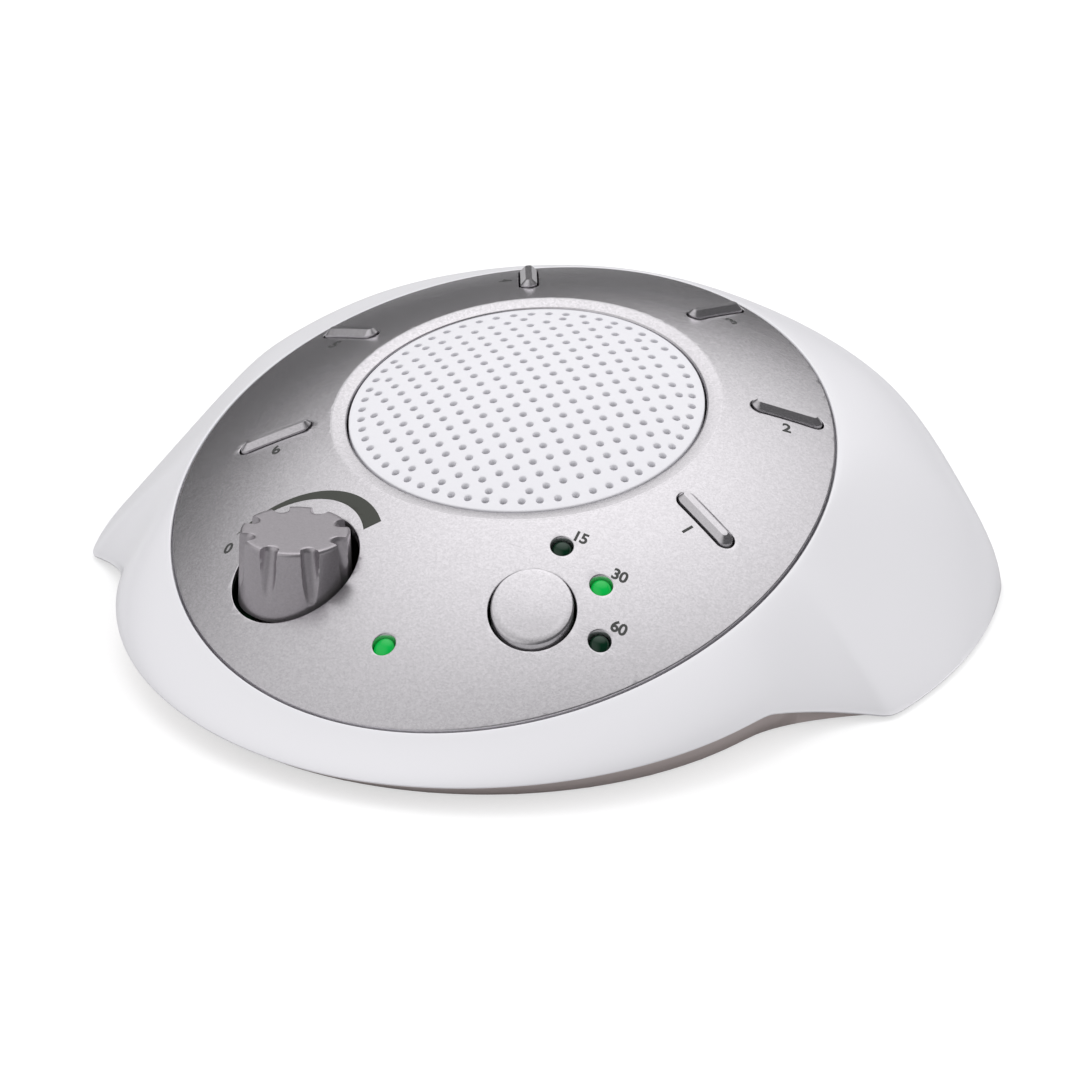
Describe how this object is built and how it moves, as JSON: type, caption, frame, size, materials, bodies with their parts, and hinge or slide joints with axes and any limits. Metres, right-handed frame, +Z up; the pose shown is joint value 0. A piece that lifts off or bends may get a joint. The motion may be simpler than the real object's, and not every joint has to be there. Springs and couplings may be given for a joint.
{
  "type": "sound machine",
  "caption": "Table-top white-noise sound machine with a domed panel, perforated round speaker grille, sprung sound keys, fluted volume knob and sleep-timer button.",
  "frame": {"origin": "on the table, under the middle of the machine's outline", "axes": "+Z up, -Y the front that faces the user, +X the user's right"},
  "size_m": [0.168, 0.1574, 0.044],
  "materials": {
    "white_housing": "satin white moulded plastic",
    "grey_housing": "matte warm grey moulded plastic",
    "rubber": "soft black rubber",
    "steel": "plain steel",
    "nickel": "nickel plate",
    "cell_sleeve": "plain printed sleeve without words",
    "black_plastic": "matte black plastic",
    "silver_paint": "silver metallic paint with fine sparkle on plastic",
    "key_paint": "darker grey metallic paint on plastic",
    "white_grille": "matte white plastic",
    "green_lens": "green tinted clear epoxy",
    "circuit_board": "green solder resist",
    "paper_cone": "black coated paper"
  },
  "bodies": {
    "housing": {"upper_housing": "white_housing", "lower_housing": "grey_housing", "rubber_feet": "rubber", "case_screws": "steel", "board_screws": "steel", "battery_cells": "cell_sleeve", "battery_contacts": "nickel", "dc_jack": "black_plastic", "control_panel": "silver_paint", "speaker_screws": "steel", "speaker_grille": "white_grille", "key_switches": "black_plastic", "timer_switch": "black_plastic", "volume_potentiometer": "nickel", "power_led": "green_lens", "timer_led_15": "green_lens", "timer_led_30": "green_lens", "timer_led_60": "green_lens", "led_spacers": "black_plastic", "main_board": "circuit_board", "key_board": "circuit_board", "speaker_frame": "steel", "speaker_cone": "paper_cone", "speaker_dust_cap": "paper_cone", "speaker_magnet": "steel", "speaker_gasket": "rubber"},
    "key_1": {"sound_key_1": "key_paint", "key_plunger_1": "black_plastic"},
    "key_2": {"sound_key_2": "key_paint", "key_plunger_2": "black_plastic"},
    "key_3": {"sound_key_3": "key_paint", "key_plunger_3": "black_plastic"},
    "key_4": {"sound_key_4": "key_paint", "key_plunger_4": "black_plastic"},
    "key_5": {"sound_key_5": "key_paint", "key_plunger_5": "black_plastic"},
    "key_6": {"sound_key_6": "key_paint", "key_plunger_6": "black_plastic"},
    "timer": {"timer_button": "silver_paint", "timer_plunger": "black_plastic"},
    "volume": {"volume_knob": "key_paint", "volume_shaft": "nickel"},
    "door": {"battery_door": "grey_housing"}
  },
  "joints": [
    {"name": "key_1_press", "type": "slide", "parent": "housing", "child": "key_1", "axis": [0, 0, -1], "range_m": [0, 0.0008], "stiffness_N_per_m": 2000},
    {"name": "key_2_press", "type": "slide", "parent": "housing", "child": "key_2", "axis": [0, 0, -1], "range_m": [0, 0.0008], "stiffness_N_per_m": 2000},
    {"name": "key_3_press", "type": "slide", "parent": "housing", "child": "key_3", "axis": [0, 0, -1], "range_m": [0, 0.0008], "stiffness_N_per_m": 2000},
    {"name": "key_4_press", "type": "slide", "parent": "housing", "child": "key_4", "axis": [0, 0, -1], "range_m": [0, 0.0008], "stiffness_N_per_m": 2000},
    {"name": "key_5_press", "type": "slide", "parent": "housing", "child": "key_5", "axis": [0, 0, -1], "range_m": [0, 0.0008], "stiffness_N_per_m": 2000},
    {"name": "key_6_press", "type": "slide", "parent": "housing", "child": "key_6", "axis": [0, 0, -1], "range_m": [0, 0.0008], "stiffness_N_per_m": 2000},
    {"name": "timer_press", "type": "slide", "parent": "housing", "child": "timer", "axis": [0, 0, -1], "range_m": [0, 0.0008], "stiffness_N_per_m": 2000},
    {"name": "volume_turn", "type": "hinge", "parent": "housing", "child": "volume", "pos_m": [-0.0231, -0.0431, 0.03], "axis": [0, 0, -1], "range_deg": [0, 300]},
    {"name": "battery_door_hinge", "type": "hinge", "parent": "housing", "child": "door", "pos_m": [0, 0.05555, 0.0009], "axis": [1, 0, 0], "range_deg": [0, 75]}
  ]
}
